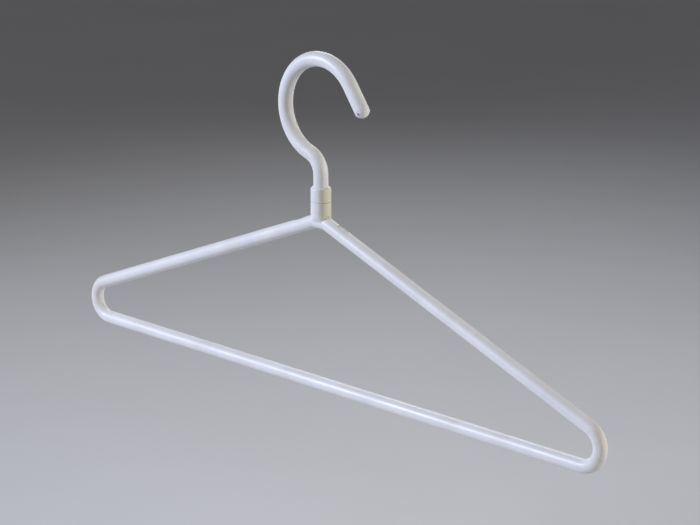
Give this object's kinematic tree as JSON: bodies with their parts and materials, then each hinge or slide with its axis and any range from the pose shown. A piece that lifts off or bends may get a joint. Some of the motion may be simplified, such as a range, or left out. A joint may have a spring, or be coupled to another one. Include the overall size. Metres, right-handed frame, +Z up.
{
  "type": "clothes hanger",
  "caption": "White plastic clothes hanger bent from round tube, with sloping arms, a trouser bar and a swan-neck hook that turns in a ringed neck",
  "frame": {"origin": "the seat: the lowest point of the inside of the hook's crown, which bears on top of the rail; the hanger hangs below it", "axes": "+X runs along the trouser bar towards the hook's open side, +Y points to the back, +Z is up; the frame lies in the XZ plane and the front faces -Y"},
  "size_m": [0.42, 0.012, 0.2029],
  "materials": {
    "tube_plastic": "lightly glossy white, faintly scuffed",
    "ring_plastic": "lightly glossy off-white, a little yellowed",
    "core_plastic": "plain off-white moulding"
  },
  "bodies": {
    "hook": {"hook_tube": "tube_plastic", "hook_ring": "ring_plastic", "swivel_pin": "core_plastic", "hook_tip_plug": "tube_plastic"},
    "frame": {"frame_tube": "tube_plastic", "yoke_front": "core_plastic", "yoke_back": "core_plastic", "neck_ring": "ring_plastic", "lock_key_left": "core_plastic", "lock_key_right": "core_plastic"}
  },
  "joints": [
    {"name": "neck_swivel", "type": "hinge", "parent": "hook", "child": "frame", "pos_m": [0, 0, -0.07896], "axis": [0, 0, 1], "continuous": true}
  ]
}
